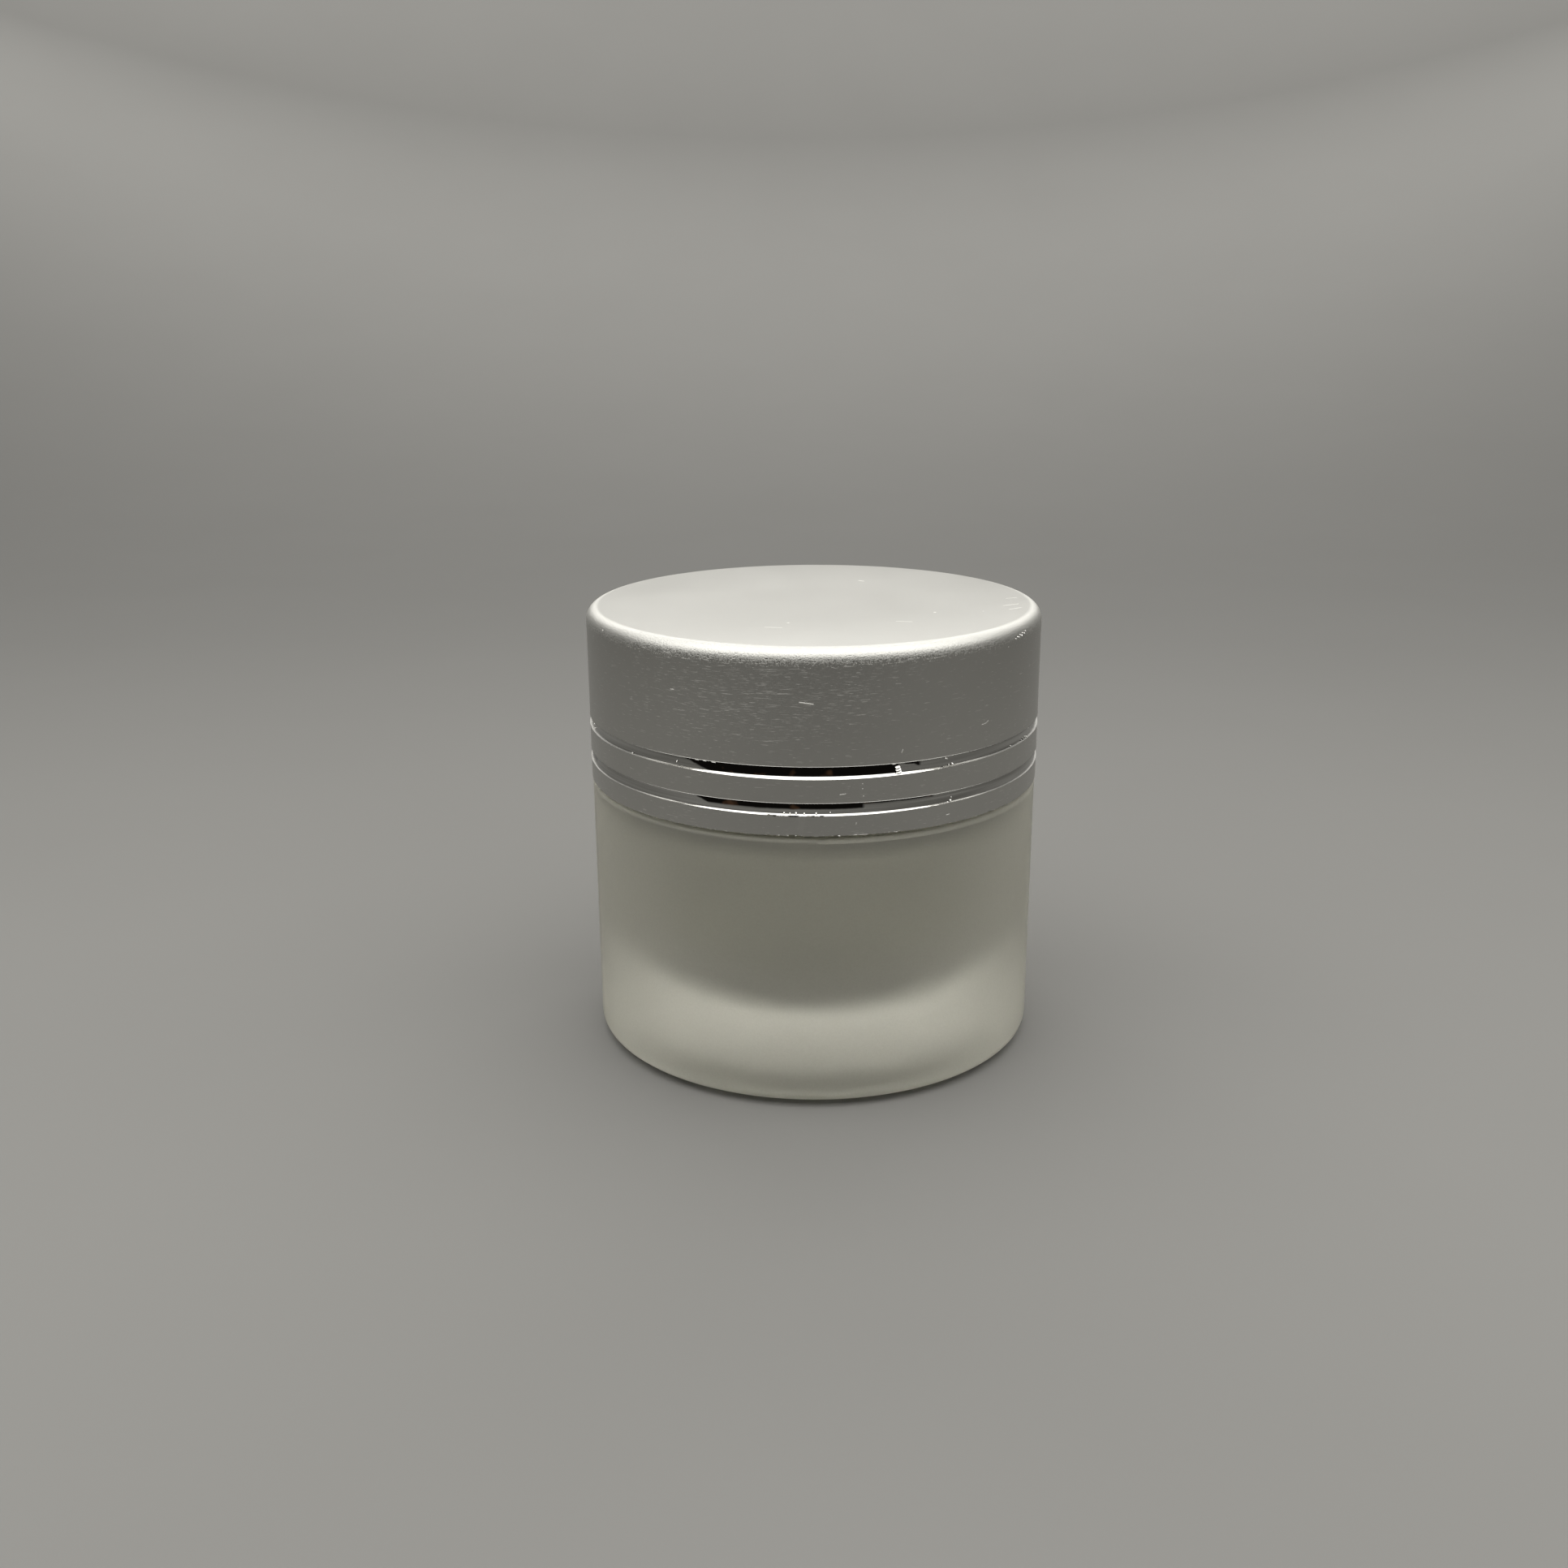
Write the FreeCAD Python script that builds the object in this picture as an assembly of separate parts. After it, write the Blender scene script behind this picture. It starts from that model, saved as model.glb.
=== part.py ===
"""Small lidded salon jar: frosted glass jar with a heavy base and an aluminium screw cap.

Millimetres, +Z up, origin on the jar's axis at the plane that the jar stands on.
The jar carries everything: its neck has a raised glass thread, a plastic disc seals
its mouth, and the cap is a plastic insert with the matching thread, a foam liner in
its roof and a drawn aluminium shell pressed over it.
"""
import FreeCAD
import Part
import math
import os

from FreeCAD import Vector

# Glass jar
jar_radius = 24.9
shoulder_height = 29.7
heel_lift = 0.8
heel_width = 2.6
heel_rounding = 1.0
shoulder_rounding = 0.5
base_thickness = 7.3
side_wall = 2.9
push_up_depth = 1.2
push_up_slope_width = 3.1
push_up_rounding = 2.0
bearing_width = 2.5
bearing_edge_rounding = 0.8
cavity_rounding = 11.0
throat_drop = 3.2
throat_rounding = 3.0

# Neck and its rim
neck_height = 15.15
neck_wall = 2.6
neck_foot_chamfer = 0.6
rim_rounding = 0.9

# Screw thread, one start, right hand
thread_pitch = 4.0
thread_height = 1.1
thread_root_width = 1.7
thread_crest_width = 0.7
neck_thread_turns = 1.25
neck_thread_drop = 2.6
cap_thread_turns = 1.5
cap_thread_lead_in = 150.0
thread_fade = 45.0
thread_bite = 0.4
thread_sink = 0.08
sections_per_turn = 24

# Sealing disc
disc_thickness = 0.8
disc_edge_setback = 0.1
disc_plug_depth = 2.4
disc_edge_chamfer = 0.2
plug_foot_rounding = 0.7
tab_width = 12.0
tab_thickness = 1.2
tab_drop = 0.2
tab_rounding = 1.4

# Foam liner
liner_thickness = 1.5

# Cap insert
roof_thickness = 1.1
insert_wall = 1.25
insert_recess = 0.4
insert_roof_chamfer = 0.9
insert_foot_height = 1.3
insert_mouth_chamfer = 0.4
bead_depth = 0.35
bead_height = 0.9
rib_count = 24
rib_width = 1.0
rib_depth = 0.95
rib_bite = 0.2
rib_top_drop = 1.5

# Aluminium shell
cap_overhang = 0.1
shell_wall = 0.5
shell_top_rounding = 1.25
groove_count = 2
groove_width = 1.3
groove_depth = 0.2
groove_upper_flank = 0.06
groove_lower_flank = 0.28
lower_land = 2.15
middle_land = 2.45

# Clearances
seat_gap = 0.05
plug_clearance = 0.25
thread_clearance = 0.25
thread_play = 0.15
liner_clearance = 0.25
glue_gap = 0.1
rib_gap = 0.05
skirt_gap = 0.3

# Heights of the stack that closes the mouth, from the jar's rim up
rim_height = shoulder_height + neck_height
disc_bottom = rim_height + seat_gap
disc_top = disc_bottom + disc_thickness
liner_bottom = disc_top + seat_gap
liner_top = liner_bottom + liner_thickness
roof_bottom = liner_top + seat_gap
roof_top = roof_bottom + roof_thickness
shell_roof = roof_top + glue_gap
cap_top = shell_roof + shell_wall
skirt_bottom = shoulder_height + skirt_gap
insert_bottom = skirt_bottom + insert_recess

# Radii from the outside in: the shell, the insert in it, the neck in that and the mouth
cap_radius = jar_radius + cap_overhang
shell_bore = cap_radius - shell_wall
rib_radius = shell_bore - rib_gap
insert_radius = rib_radius - rib_depth
insert_bore = insert_radius - insert_wall
thread_crest_radius = insert_bore - thread_clearance
neck_radius = thread_crest_radius - thread_height
mouth_radius = neck_radius - neck_wall
plug_radius = mouth_radius - plug_clearance
disc_radius = neck_radius - disc_edge_setback
liner_radius = insert_bore - liner_clearance

# Radii of the jar's cavity and of the ring that it stands on
cavity_radius = jar_radius - side_wall
bearing_outer_radius = jar_radius - heel_width
bearing_inner_radius = bearing_outer_radius - bearing_width
push_up_radius = bearing_inner_radius - push_up_slope_width

# The two ridges run side by side, the cap's just under the neck's
flank_slope = (thread_root_width - thread_crest_width) / 2 / thread_height
neck_thread_rise = thread_pitch * neck_thread_turns
neck_thread_start = rim_height - neck_thread_drop - neck_thread_rise
meeting_half_width = thread_crest_width + flank_slope * (thread_height - thread_clearance)
ridge_spacing = meeting_half_width + thread_play
lead_in_rise = thread_pitch * cap_thread_lead_in / 360.0
cap_thread_start = neck_thread_start - ridge_spacing - lead_in_rise


def rounded_outline(corners):
    """Closed wire in the XZ plane through corners given as radius, height, rounding."""
    edges = []
    ends = []
    points = [Vector(radius, 0, height) for radius, height, rounding in corners]
    for index, corner in enumerate(points):
        rounding = corners[index][2]
        backward = (points[index - 1] - corner).normalize()
        forward = (points[(index + 1) % len(points)] - corner).normalize()
        if rounding == 0:
            ends.append((corner, corner))
            continue
        half_angle = backward.getAngle(forward) / 2
        setback = rounding / math.tan(half_angle)
        inward = (backward + forward).normalize()
        middle = corner + inward * (rounding / math.sin(half_angle) - rounding)
        entry = corner + backward * setback
        leave = corner + forward * setback
        edges.append(Part.Arc(entry, middle, leave).toShape())
        ends.append((entry, leave))
    for index, (entry, leave) in enumerate(ends):
        start = ends[index - 1][1]
        if start.distanceToPoint(entry) > 1e-6:
            edges.append(Part.LineSegment(start, entry).toShape())
    return Part.Wire(Part.__sortEdges__(edges))


def turned(corners):
    """Solid of revolution about Z of a rounded outline."""
    face = Part.Face(rounded_outline(corners))
    return face.revolve(Vector(0, 0, 0), Vector(0, 0, 1), 360)


def ridge_section(root_radius, outward, angle, height, swell):
    """Trapezium across a ridge at one angle; swell 0 leaves it just under the wall."""
    crest = root_radius + outward * ((thread_height + thread_sink) * swell - thread_sink)
    buried = root_radius - outward * thread_bite
    crest_half = thread_crest_width / 2
    buried_half = thread_root_width / 2 + flank_slope * thread_bite
    turn = math.radians(angle)

    def place(radius, offset):
        return Vector(radius * math.cos(turn), radius * math.sin(turn), height + offset)

    corners = [place(buried, -buried_half), place(crest, -crest_half)]
    corners += [place(crest, crest_half), place(buried, buried_half)]
    return Part.makePolygon(corners + corners[:1])


def thread_ridge(root_radius, outward, start_angle, start_height, turns):
    """One helical ridge that swells out of its wall and sinks back into it."""
    sweep = 360.0 * turns
    steps = int(round(sections_per_turn * turns))
    sections = []
    for step in range(steps + 1):
        along = sweep * step / steps
        nearness = min(along, sweep - along, thread_fade) / thread_fade
        swell = nearness * nearness * (3 - 2 * nearness)
        height = start_height + thread_pitch * along / 360.0
        sections.append(ridge_section(root_radius, outward, start_angle + along, height, swell))
    return Part.makeLoft(sections, True, False)


def glass_jar():
    """Pressed glass jar: thick base with a push-up, straight wall, shoulder, threaded neck."""
    throat_top = shoulder_height
    throat_bottom = throat_top - throat_drop
    body = turned([
        (0, push_up_depth, 0),
        (push_up_radius, push_up_depth, push_up_rounding),
        (bearing_inner_radius, 0, bearing_edge_rounding),
        (bearing_outer_radius, 0, bearing_edge_rounding),
        (jar_radius, heel_lift, heel_rounding),
        (jar_radius, shoulder_height, shoulder_rounding),
        (neck_radius + neck_foot_chamfer, shoulder_height, 0),
        (neck_radius, shoulder_height + neck_foot_chamfer, 0),
        (neck_radius, rim_height, rim_rounding),
        (mouth_radius, rim_height, rim_rounding),
        (mouth_radius, throat_top, throat_rounding),
        (cavity_radius, throat_bottom, throat_rounding),
        (cavity_radius, base_thickness, cavity_rounding),
        (0, base_thickness, 0),
    ])
    ridge = thread_ridge(neck_radius, 1, 0.0, neck_thread_start, neck_thread_turns)
    return body.fuse(ridge)


def sealing_disc():
    """Thin moulded disc: flange on the rim, shallow plug in the mouth, tab to pull it by."""
    plug_bottom = disc_bottom - disc_plug_depth
    floor_top = plug_bottom + disc_thickness
    pan_radius = plug_radius - disc_thickness
    dish = turned([
        (0, plug_bottom, 0),
        (plug_radius, plug_bottom, plug_foot_rounding),
        (plug_radius, disc_bottom, 0),
        (disc_radius, disc_bottom, 0),
        (disc_radius, disc_top - disc_edge_chamfer, 0),
        (disc_radius - disc_edge_chamfer, disc_top, 0),
        (pan_radius + disc_edge_chamfer, disc_top, 0),
        (pan_radius, disc_top - disc_edge_chamfer, 0),
        (pan_radius, floor_top, 0),
        (0, floor_top, 0),
    ])
    tab_foot = floor_top - disc_thickness / 2
    tab_top = disc_top - tab_drop
    half_width = tab_width / 2
    blade = Part.Face(rounded_outline([
        (-half_width, tab_foot, 0),
        (half_width, tab_foot, 0),
        (half_width, tab_top, tab_rounding),
        (-half_width, tab_top, tab_rounding),
    ]))
    blade.translate(Vector(0, -tab_thickness / 2, 0))
    return dish.fuse(blade.extrude(Vector(0, tab_thickness, 0)))


def foam_liner():
    """Die-cut foam disc that lies loose in the roof of the insert."""
    return Part.makeCylinder(liner_radius, liner_thickness, Vector(0, 0, liner_bottom))


def insert_ribs():
    """Upright ribs round the insert that the shell is pressed over."""
    foot_top = insert_bottom + insert_foot_height
    length = roof_top - rib_top_drop - foot_top
    base = Vector(0, 0, foot_top)
    band = Part.makeCylinder(rib_radius, length, base)
    band = band.cut(Part.makeCylinder(insert_radius - rib_bite, length, base))
    bars = []
    for index in range(rib_count):
        bar = Part.makeBox(cap_radius, rib_width, length, Vector(0, -rib_width / 2, foot_top))
        bar.rotate(Vector(0, 0, 0), Vector(0, 0, 1), 360.0 * index / rib_count)
        bars.append(bar)
    return [band.common(bar) for bar in bars]


def cap_insert():
    """Moulded inner cap: internal thread, bead that keeps the liner in, ribs and a foot ring."""
    foot_top = insert_bottom + insert_foot_height
    bead_top = liner_bottom - seat_gap
    bead_middle = bead_top - bead_height / 2
    bead_bottom = bead_top - bead_height
    body = turned([
        (0, roof_top, 0),
        (insert_radius - insert_roof_chamfer, roof_top, 0),
        (insert_radius, roof_top - insert_roof_chamfer, 0),
        (insert_radius, foot_top, 0),
        (rib_radius, foot_top, 0),
        (rib_radius, insert_bottom, 0),
        (insert_bore + insert_mouth_chamfer, insert_bottom, 0),
        (insert_bore, insert_bottom + insert_mouth_chamfer, 0),
        (insert_bore, bead_bottom, 0),
        (insert_bore - bead_depth, bead_middle, 0),
        (insert_bore, bead_top, 0),
        (insert_bore, roof_bottom, 0),
        (0, roof_bottom, 0),
    ])
    ridge = thread_ridge(insert_bore, -1, -cap_thread_lead_in, cap_thread_start, cap_thread_turns)
    return body.fuse(ridge).fuse(insert_ribs())


def cap_shell():
    """Drawn aluminium cup with two bright-cut grooves turned into its skirt."""
    outside = [(0, cap_top, 0), (cap_radius, cap_top, shell_top_rounding)]
    for index in reversed(range(groove_count)):
        groove_bottom = skirt_bottom + lower_land + index * (groove_width + middle_land)
        groove_top = groove_bottom + groove_width
        floor_radius = cap_radius - groove_depth
        outside.append((cap_radius, groove_top, 0))
        outside.append((floor_radius, groove_top - groove_upper_flank, 0))
        outside.append((floor_radius, groove_bottom + groove_lower_flank, 0))
        outside.append((cap_radius, groove_bottom, 0))
    inside = [
        (cap_radius, skirt_bottom, 0),
        (shell_bore, skirt_bottom, 0),
        (shell_bore, shell_roof, shell_top_rounding - shell_wall),
        (0, shell_roof, 0),
    ]
    return turned(outside + inside)


def main():
    os.makedirs("parts", exist_ok=True)
    for make in (glass_jar, sealing_disc, foam_liner, cap_insert, cap_shell):
        solid = make()
        name = make.__name__
        box = solid.BoundBox
        print(name, "solids", len(solid.Solids), "valid", solid.isValid(),
              "volume %.1f" % solid.Volume, "z %.2f to %.2f" % (box.ZMin, box.ZMax))
        solid.exportStep(os.path.join("parts", name + ".step"))


main()
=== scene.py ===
import math
import random

import bpy
from mathutils import Matrix, Vector, noise


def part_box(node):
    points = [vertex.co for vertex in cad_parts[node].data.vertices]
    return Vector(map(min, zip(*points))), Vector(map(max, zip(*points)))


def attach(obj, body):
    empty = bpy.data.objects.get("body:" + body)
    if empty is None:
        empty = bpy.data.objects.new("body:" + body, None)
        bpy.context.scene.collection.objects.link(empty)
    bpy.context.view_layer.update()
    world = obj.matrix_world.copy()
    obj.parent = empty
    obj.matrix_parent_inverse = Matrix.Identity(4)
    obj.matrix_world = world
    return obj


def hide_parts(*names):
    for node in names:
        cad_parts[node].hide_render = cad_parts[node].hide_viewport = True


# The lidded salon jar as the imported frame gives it: jar, sealing disc, foam liner and
# cap, closed, on the plane z = 0 with the jar's axis on Z. Lengths are in metres.
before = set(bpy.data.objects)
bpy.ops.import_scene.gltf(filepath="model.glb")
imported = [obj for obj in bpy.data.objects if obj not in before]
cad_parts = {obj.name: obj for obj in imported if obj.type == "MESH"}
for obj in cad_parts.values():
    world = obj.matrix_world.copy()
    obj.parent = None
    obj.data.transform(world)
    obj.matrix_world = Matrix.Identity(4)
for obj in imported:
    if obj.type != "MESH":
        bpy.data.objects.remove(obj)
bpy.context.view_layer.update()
MM = 0.001


# --- Glass jar -----------------------------------------------------------------------
# Pressed soda glass with a heavy base. The outside is etched in acid to an even frost,
# and the cavity stays clear because the mouth is plugged in the bath.

def put_in(tree, socket, value):
    """Links the value if it is a socket and sets it otherwise."""
    if isinstance(value, bpy.types.NodeSocket):
        tree.links.new(value, socket)
    else:
        socket.default_value = value


def feed(tree, node, **inputs):
    """Gives a node its inputs by name, with underscores for spaces."""
    for name, value in inputs.items():
        put_in(tree, node.inputs[name.replace("_", " ")], value)


def add_node(tree, kind, settings=None, **inputs):
    """Shader node with its settings and inputs."""
    made = tree.nodes.new(kind)
    for name, value in (settings or {}).items():
        setattr(made, name, value)
    feed(tree, made, **inputs)
    return made


def maths(tree, operation, *values, clamp=False):
    """Math node on one to three values or sockets."""
    made = add_node(tree, "ShaderNodeMath", {"operation": operation, "use_clamp": clamp})
    for socket, value in zip(made.inputs, values):
        put_in(tree, socket, value)
    return made.outputs[0]


def ramp(tree, value, low, high, to_low=0.0, to_high=1.0, smooth=False):
    """Value from low to high, made to_low to to_high and held beyond them."""
    kind = {"interpolation_type": "SMOOTHSTEP" if smooth else "LINEAR"}
    made = add_node(tree, "ShaderNodeMapRange", kind)
    for socket, given in zip(made.inputs, (value, low, high, to_low, to_high)):
        put_in(tree, socket, given)
    return made.outputs[0]


MIX_SHARE, MIX_FIRST, MIX_SECOND, MIX_RESULT = 0, 6, 7, 2    # a Mix node's colour sockets


def blend_colours(tree, share, first, second):
    """Colour between two colours."""
    made = add_node(tree, "ShaderNodeMix", {"data_type": "RGBA"})
    for socket, value in ((MIX_SHARE, share), (MIX_FIRST, first), (MIX_SECOND, second)):
        put_in(tree, made.inputs[socket], value)
    return made.outputs[MIX_RESULT]


def stretched_place(tree, scale=(1.0, 1.0, 1.0)):
    """Object coordinates times a scale for each axis."""
    place = tree.nodes.new("ShaderNodeTexCoord").outputs["Object"]
    return add_node(tree, "ShaderNodeMapping", Vector=place, Scale=scale).outputs[0]


def new_material(name):
    """Empty node material with its output and Principled shader."""
    made = bpy.data.materials.new(name)
    made.use_nodes = True
    made.node_tree.nodes.clear()
    shader = made.node_tree.nodes.new("ShaderNodeBsdfPrincipled")
    output = made.node_tree.nodes.new("ShaderNodeOutputMaterial")
    made.node_tree.links.new(shader.outputs[0], output.inputs[0])
    return made, made.node_tree, shader


def new_group(name, inputs, outputs):
    """Node group with named inputs and outputs of the given socket kinds."""
    made = bpy.data.node_groups.new(name, "ShaderNodeTree")
    for label, kind in inputs:
        made.interface.new_socket(label, in_out="INPUT", socket_type="NodeSocket" + kind)
    for label, kind in outputs:
        made.interface.new_socket(label, in_out="OUTPUT", socket_type="NodeSocket" + kind)
    entry = made.nodes.new("NodeGroupInput")
    leave = made.nodes.new("NodeGroupOutput")
    return made, entry.outputs, leave.inputs


def make_fine_grain():
    """Group: close grain as a height, with slow patches that vary the finish."""
    group, given, result = new_group(
        "fine_grain",
        [("Place", "Vector"), ("Grain", "Float"), ("Patches", "Float")],
        [("Height", "Float"), ("Patch", "Float")])
    grain = add_node(group, "ShaderNodeTexNoise", Vector=given["Place"],
                     Scale=given["Grain"], Detail=3.0, Roughness=0.6)
    patches = add_node(group, "ShaderNodeTexNoise", Vector=given["Place"],
                       Scale=given["Patches"], Detail=2.0, Roughness=0.5)
    group.links.new(grain.outputs[0], result["Height"])
    group.links.new(patches.outputs[0], result["Patch"])
    return group


def make_stray_specks():
    """Group: sparse small specks, as dust or tiny pits, from the share of cells that hold one."""
    group, given, result = new_group(
        "stray_specks",
        [("Place", "Vector"), ("Cells", "Float"), ("Share", "Float"), ("Size", "Float")],
        [("Mask", "Float")])
    cells = add_node(group, "ShaderNodeTexVoronoi", Vector=given["Place"], Scale=given["Cells"])
    lot = add_node(group, "ShaderNodeSeparateColor", Color=cells.outputs["Color"])
    held = maths(group, "LESS_THAN", lot.outputs[0], given["Share"])
    reach = maths(group, "MULTIPLY", given["Size"], lot.outputs[1])
    inside = maths(group, "LESS_THAN", cells.outputs["Distance"], reach)
    group.links.new(maths(group, "MULTIPLY", held, inside), result["Mask"])
    return group


def make_turned_place():
    """Group: radius, angle from the front and height of a place on a turned piece."""
    group, given, result = new_group(
        "turned_place",
        [("Place", "Vector")],
        [("Radius", "Float"), ("Angle", "Float"), ("Height", "Float")])
    axes = add_node(group, "ShaderNodeSeparateXYZ", Vector=given["Place"]).outputs
    flat = add_node(group, "ShaderNodeCombineXYZ", X=axes["X"], Y=axes["Y"]).outputs[0]
    radius = add_node(group, "ShaderNodeVectorMath", {"operation": "LENGTH"}, Vector=flat)
    forward = maths(group, "MULTIPLY", axes["Y"], -1.0)
    group.links.new(radius.outputs["Value"], result["Radius"])
    group.links.new(maths(group, "ARCTAN2", axes["X"], forward), result["Angle"])
    group.links.new(axes["Z"], result["Height"])
    return group


def make_scratch_line():
    """Group: one straight scratch between two points of a surface unrolled to a plane."""
    group, given, result = new_group(
        "scratch_line",
        [("Across", "Float"), ("Up", "Float"), ("From Across", "Float"), ("From Up", "Float"),
         ("To Across", "Float"), ("To Up", "Float"), ("Width", "Float")],
        [("Mask", "Float")])

    def point(across, up):
        return add_node(group, "ShaderNodeCombineXYZ", X=across, Y=up).outputs[0]

    def vector_of(operation, first, second):
        made = add_node(group, "ShaderNodeVectorMath", {"operation": operation})
        put_in(group, made.inputs[0], first)
        put_in(group, made.inputs[1], second)
        return made.outputs

    start = point(given["From Across"], given["From Up"])
    reach = vector_of("SUBTRACT", point(given["To Across"], given["To Up"]), start)[0]
    away = vector_of("SUBTRACT", point(given["Across"], given["Up"]), start)[0]
    along = vector_of("DOT_PRODUCT", away, reach)["Value"]
    length = vector_of("DOT_PRODUCT", reach, reach)["Value"]
    share = maths(group, "DIVIDE", along, length, clamp=True)
    nearest = add_node(group, "ShaderNodeVectorMath", {"operation": "SCALE"},
                       Vector=reach, Scale=share)
    gap = vector_of("DISTANCE", away, nearest.outputs[0])["Value"]
    half = maths(group, "MULTIPLY", given["Width"], 0.5)
    group.links.new(ramp(group, gap, 0.0, half, 1.0, 0.0), result["Mask"])
    return group


def use_group(tree, group, **inputs):
    """The group placed in a material with its own values."""
    return add_node(tree, "ShaderNodeGroup", {"node_tree": group}, **inputs).outputs


def scratches(tree, across, up, lines):
    """Mask of several scratches, each from one point to another with its width, in millimetres."""
    mask = 0.0
    for from_across, from_up, to_across, to_up, width in lines:
        line = use_group(tree, SCRATCH_LINE, Across=across, Up=up, From_Across=from_across * MM,
                         From_Up=from_up * MM, To_Across=to_across * MM, To_Up=to_up * MM,
                         Width=width * MM)
        mask = maths(tree, "MAXIMUM", line["Mask"], mask)
    return mask


FINE_GRAIN = make_fine_grain()
STRAY_SPECKS = make_stray_specks()
TURNED_PLACE = make_turned_place()
SCRATCH_LINE = make_scratch_line()

NOISE_LOW, NOISE_HIGH = 0.3, 0.7
GRAIN_DEPTH = 0.02 * MM


def patchy(tree, grain, low, high):
    """Value that drifts between low and high over the grain's slow patches."""
    return ramp(tree, grain["Patch"], NOISE_LOW, NOISE_HIGH, low, high)


def roughen(tree, shader, height, strength, depth=GRAIN_DEPTH):
    """Bump on a material's shader."""
    bump = add_node(tree, "ShaderNodeBump", Strength=strength, Distance=depth, Height=height)
    feed(tree, shader, Normal=bump.outputs[0])


def dress(piece, material):
    """Gives a piece its only material."""
    piece.data.materials.clear()
    piece.data.materials.append(material)


WALL_FROST_FROM = 22.4 * MM
NECK_FROST_FROM = 19.6 * MM
SHOULDER_LOW = 29.0 * MM
SHOULDER_HIGH = 29.6 * MM
UNDERSIDE_TOP = 4.0 * MM
COAT_END = 0.65 * MM
COAT_WAVER = 0.12 * MM
FROST_GRAIN = {"Grain": 5200.0, "Patches": 260.0}
FROST_TEXTURE = 0.2
FROST_ROUGHNESS = (0.57, 0.63)
UNDERSIDE_ROUGHNESS = 0.34
CAVITY_ROUGHNESS = 0.03
FROST_COLOURS = ((0.88, 0.865, 0.775, 1.0), (0.94, 0.925, 0.835, 1.0))
UNDERSIDE_GLASS = (0.93, 0.93, 0.88, 1.0)
# Cavity tint: painted shade, the clear inner glass darkened to stand for the hollow that the cap
# keeps in shade.
CAVITY_GLASS_PAINTED_SHADE = (0.46, 0.46, 0.40, 1.0)
RUBBED_WHITE = (1.0, 1.0, 0.97, 1.0)
GLASS_DUST = {"Cells": 420.0, "Share": 0.05, "Size": 0.05}
GLASS_MARKS = ((11.7, 28.2, 12.4, 28.05, 0.16),)    # from across, from up, to across, to up, width
GLASS_IOR = 1.5
GLASS_TRANSMISSION = 0.80


def frosted_glass():
    """Soda glass with a trace of green, etched outside, clear underneath and in the cavity, where
    it is tinted darker as painted shade of the hollow under the cap.
    """
    made, tree, shader = new_material("frosted_soda_glass")
    place = stretched_place(tree)
    turned = use_group(tree, TURNED_PLACE, Place=place)
    grain = use_group(tree, FINE_GRAIN, Place=place, **FROST_GRAIN)
    above = maths(tree, "GREATER_THAN", turned["Height"], UNDERSIDE_TOP)
    frost_from = ramp(tree, turned["Height"], SHOULDER_LOW, SHOULDER_HIGH,
                      WALL_FROST_FROM, NECK_FROST_FROM)
    coat_end = patchy(tree, grain, COAT_END, COAT_END + COAT_WAVER)
    etched = maths(tree, "MULTIPLY", maths(tree, "GREATER_THAN", turned["Radius"], frost_from),
                   maths(tree, "GREATER_THAN", turned["Height"], coat_end))
    roughen(tree, shader, maths(tree, "MULTIPLY", etched, grain["Height"]), FROST_TEXTURE)

    frost = patchy(tree, grain, *FROST_ROUGHNESS)
    moulded = ramp(tree, above, 0.0, 1.0, UNDERSIDE_ROUGHNESS, CAVITY_ROUGHNESS)
    # Clear glass: plain underneath, darker in the cavity as painted shade.
    clear = blend_colours(tree, above, UNDERSIDE_GLASS, CAVITY_GLASS_PAINTED_SHADE)
    skin = blend_colours(tree, ramp(tree, grain["Height"], 0.35, 0.65), *FROST_COLOURS)
    body = blend_colours(tree, etched, clear, skin)

    across = maths(tree, "MULTIPLY", turned["Angle"], turned["Radius"])
    marks = scratches(tree, across, turned["Height"], GLASS_MARKS)
    dust = use_group(tree, STRAY_SPECKS, Place=place, **GLASS_DUST)
    marks = maths(tree, "MULTIPLY", maths(tree, "MAXIMUM", marks, dust["Mask"]), etched)
    feed(tree, shader, Base_Color=blend_colours(tree, marks, body, RUBBED_WHITE),
         Roughness=ramp(tree, etched, 0.0, 1.0, moulded, frost),
         IOR=GLASS_IOR, Transmission_Weight=GLASS_TRANSMISSION)
    return made


dress(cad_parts["glass_jar"], frosted_glass())


# --- Sealing disc --------------------------------------------------------------------
# Thin disc moulded in natural polypropylene, milky and slightly waxy. It drops in the
# mouth and is pulled out by its tab.

SOAK_TINT = (1.0, 1.0, 0.9)
DISC_GRAIN = {"Grain": 2600.0, "Patches": 150.0}
DISC_TEXTURE = 0.15
DISC_ROUGHNESS = (0.34, 0.46)
DISC_COLOURS = ((0.70, 0.70, 0.66, 1.0), (0.76, 0.76, 0.73, 1.0))
DISC_SOAK = 0.3
DISC_SOAK_DEPTH = 0.8 * MM


def moulded_plastic(name, grain_sizes, texture, roughness, colours, soak, soak_depth):
    """Polypropylene with faint flow patches, which light soaks into."""
    made, tree, shader = new_material(name)
    grain = use_group(tree, FINE_GRAIN, Place=stretched_place(tree), **grain_sizes)
    roughen(tree, shader, grain["Height"], texture)
    feed(tree, shader, Base_Color=blend_colours(tree, grain["Patch"], *colours),
         Roughness=patchy(tree, grain, *roughness), Subsurface_Weight=soak,
         Subsurface_Radius=SOAK_TINT, Subsurface_Scale=soak_depth)
    return made


dress(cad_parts["sealing_disc"],
      moulded_plastic("natural_polypropylene", DISC_GRAIN, DISC_TEXTURE, DISC_ROUGHNESS,
                      DISC_COLOURS, DISC_SOAK, DISC_SOAK_DEPTH))


# --- Foam liner ----------------------------------------------------------------------
# Disc die-cut from closed-cell foam. It lies in the roof of the insert, its edge is a
# little crowned by the cut, and the sealing disc has left a shallow ring in it.

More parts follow.
